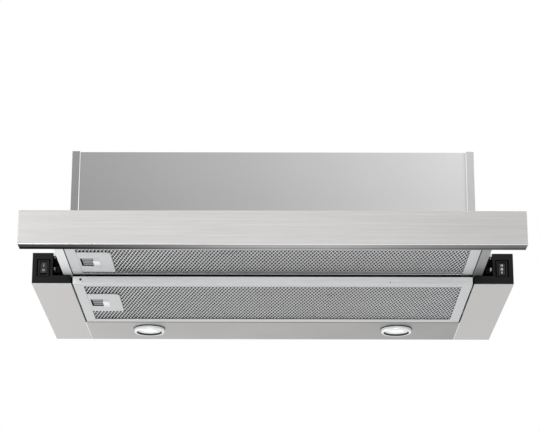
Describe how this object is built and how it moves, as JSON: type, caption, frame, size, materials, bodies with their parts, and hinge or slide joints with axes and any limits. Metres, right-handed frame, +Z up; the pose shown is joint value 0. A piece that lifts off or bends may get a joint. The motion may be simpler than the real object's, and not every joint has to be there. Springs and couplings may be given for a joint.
{
  "type": "pull-out range hood",
  "caption": "Slim range hood that hangs under a wall cabinet, with a sliding front visor, grease filters, lamps, rocker switches and a blower in a top box.",
  "frame": {"origin": "centre of the four cabinet screw holes, on the upper face of the body's top plate", "axes": "+X to the right seen from the front, +Y from the front to the wall, +Z up; at rest the visor is pulled out"},
  "size_m": [0.598, 0.4295, 0.222],
  "materials": {
    "panel_steel": "brushed",
    "body_steel": "satin silver-grey",
    "visor_steel": "satin",
    "zinc": "zinc-plated",
    "box_steel": "satin grey",
    "slide_steel": "bright",
    "black_plastic": "fine grain",
    "switch_black": "half gloss",
    "white_plastic": "matt",
    "chrome": "polished",
    "lens": "frosted",
    "aluminium": "mill finish",
    "wheel_plastic": "grey",
    "motor_dark": "dark varnish",
    "rubber": "matt"
  },
  "bodies": {
    "root": {"top_plate": "zinc", "side_panel_left": "body_steel", "side_panel_right": "body_steel", "rear_panel": "zinc", "light_panel": "body_steel", "end_cap_left": "black_plastic", "end_cap_right": "black_plastic", "switch_body_left": "switch_black", "switch_body_right": "switch_black", "microswitch_left": "black_plastic", "microswitch_right": "black_plastic", "runner_left": "zinc", "runner_right": "zinc", "lamp_ring_left": "chrome", "lamp_ring_right": "chrome", "lamp_lens_left": "lens", "lamp_lens_right": "lens", "lamp_housings": "zinc", "led_driver": "white_plastic", "box_front": "box_steel", "box_top": "box_steel", "box_rear": "box_steel", "box_side_left": "zinc", "box_side_right": "zinc", "case_screws": "slide_steel", "duct_spigot": "black_plastic", "flap_rod": "slide_steel", "cable_grommet": "rubber", "scroll_left": "zinc", "scroll_right": "zinc", "motor": "motor_dark", "motor_bracket": "zinc", "capacitor": "white_plastic", "terminal_box": "black_plastic"},
    "rocker_left": {"rocker_left": "switch_black"},
    "rocker_right": {"rocker_right": "switch_black"},
    "plunger_left": {"plunger_left": "white_plastic"},
    "plunger_right": {"plunger_right": "white_plastic"},
    "impeller": {"impeller": "wheel_plastic", "motor_shaft": "slide_steel"},
    "flap_rear": {"flap_rear": "black_plastic"},
    "flap_front": {"flap_front": "black_plastic"},
    "visor": {"front_panel": "panel_steel", "panel_back": "visor_steel", "panel_buffers": "rubber", "visor_rail_left": "visor_steel", "visor_rail_right": "visor_steel", "visor_top": "visor_steel", "slide_left": "slide_steel", "slide_right": "slide_steel"},
    "upper_filter": {"upper_filter_frame": "aluminium", "upper_filter_mesh": "aluminium", "upper_filter_pad": "aluminium", "upper_latch_plate": "aluminium"},
    "upper_latch": {"upper_latch": "slide_steel"},
    "lower_filter": {"lower_filter_frame": "aluminium", "lower_filter_mesh": "aluminium", "lower_filter_pad": "aluminium", "lower_latch_plate": "aluminium"},
    "lower_latch": {"lower_latch": "slide_steel"}
  },
  "joints": [
    {"name": "visor_slide", "type": "slide", "parent": "root", "child": "visor", "axis": [0, -1, 0], "range_m": [-0.123, 0]},
    {"name": "upper_filter_drop", "type": "hinge", "parent": "visor", "child": "upper_filter", "pos_m": [0.2475, -0.2055, -0.028], "axis": [0, -1, 0], "range_deg": [0, 50]},
    {"name": "upper_latch_slide", "type": "slide", "parent": "upper_filter", "child": "upper_latch", "axis": [1, 0, 0], "range_m": [0, 0.006], "stiffness_N_per_m": 300, "springref_m": -0.004},
    {"name": "lower_filter_drop", "type": "hinge", "parent": "root", "child": "lower_filter", "pos_m": [0.248, -0.04775, -0.0397], "axis": [0, -1, 0], "range_deg": [0, 50]},
    {"name": "lower_latch_slide", "type": "slide", "parent": "lower_filter", "child": "lower_latch", "axis": [1, 0, 0], "range_m": [0, 0.006], "stiffness_N_per_m": 300, "springref_m": -0.004},
    {"name": "rocker_left_tilt", "type": "hinge", "parent": "root", "child": "rocker_left", "pos_m": [-0.285, -0.1365, -0.0194], "axis": [1, 0, 0], "range_deg": [0, 16]},
    {"name": "rocker_right_tilt", "type": "hinge", "parent": "root", "child": "rocker_right", "pos_m": [0.285, -0.1365, -0.0194], "axis": [1, 0, 0], "range_deg": [-9, 9]},
    {"name": "plunger_left_press", "type": "slide", "parent": "root", "child": "plunger_left", "axis": [0, 1, 0], "range_m": [0, 0.002], "stiffness_N_per_m": 400, "springref_m": -0.002},
    {"name": "plunger_right_press", "type": "slide", "parent": "root", "child": "plunger_right", "axis": [0, 1, 0], "range_m": [0, 0.002], "stiffness_N_per_m": 400, "springref_m": -0.002},
    {"name": "impeller_spin", "type": "hinge", "parent": "root", "child": "impeller", "pos_m": [0, 0.00401, 0.078], "axis": [1, 0, 0], "continuous": true},
    {"name": "flap_rear_swing", "type": "hinge", "parent": "root", "child": "flap_rear", "pos_m": [0, 0.05, 0.1523], "axis": [1, 0, 0], "range_deg": [0, 70]},
    {"name": "flap_front_swing", "type": "hinge", "parent": "root", "child": "flap_front", "pos_m": [0, 0.05, 0.1523], "axis": [1, 0, 0], "range_deg": [-70, 0]}
  ],
  "couplings": [
    {"joint": "flap_front_swing", "follows": "flap_rear_swing", "ratio": -1}
  ]
}
